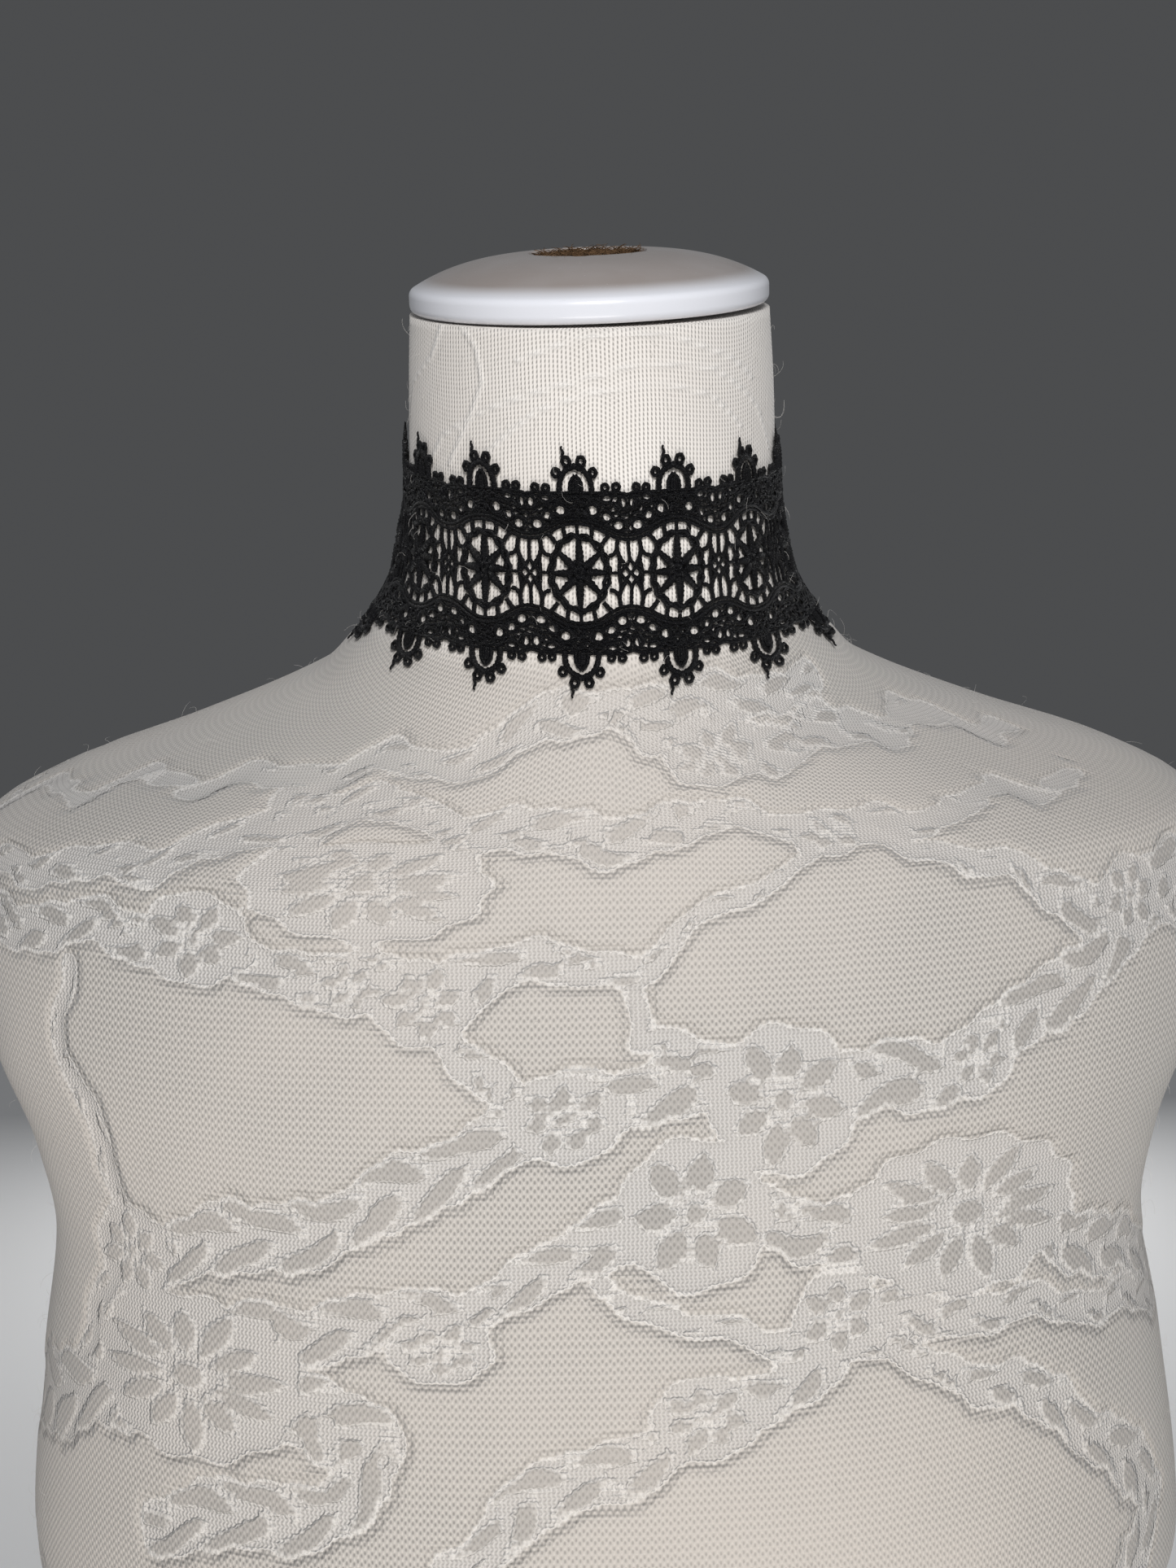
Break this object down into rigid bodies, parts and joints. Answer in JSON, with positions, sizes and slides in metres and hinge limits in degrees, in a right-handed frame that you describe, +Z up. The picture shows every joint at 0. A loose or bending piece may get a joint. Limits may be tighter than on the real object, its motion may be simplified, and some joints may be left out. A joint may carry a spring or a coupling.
{
  "type": "lace choker on a dress form",
  "caption": "Black guipure lace choker with a wheel medallion repeat and picot sprigs, fastened round the neck of a limbless dress form in ivory jacquard knit.",
  "frame": {"origin": "middle of the form's flat underside, under the middle of its width and depth", "axes": "+Z up the body to the neck cap, -Y out of the chest, +X to the right as seen from the front"},
  "size_m": [0.362, 0.24, 0.7079],
  "materials": {
    "ivory_knit": "ivory jacquard stretch knit",
    "lace_thread": "matte black polyester thread with a slight sheen",
    "end_tape": "matte black woven tape",
    "black_wire": "black lacquered wire",
    "white_plastic": "glossy white",
    "fibre_core": "raw torn fibre"
  },
  "bodies": {
    "root": {"form_torso": "ivory_knit", "neck_cap": "white_plastic", "cap_fibre": "fibre_core", "lace_left": "lace_thread", "lace_right": "lace_thread", "tab_left": "end_tape", "tab_right": "end_tape", "hook_1": "black_wire", "eye_1": "black_wire", "hook_2": "black_wire", "eye_2": "black_wire", "hook_3": "black_wire", "eye_3": "black_wire"}
  },
  "joints": []
}
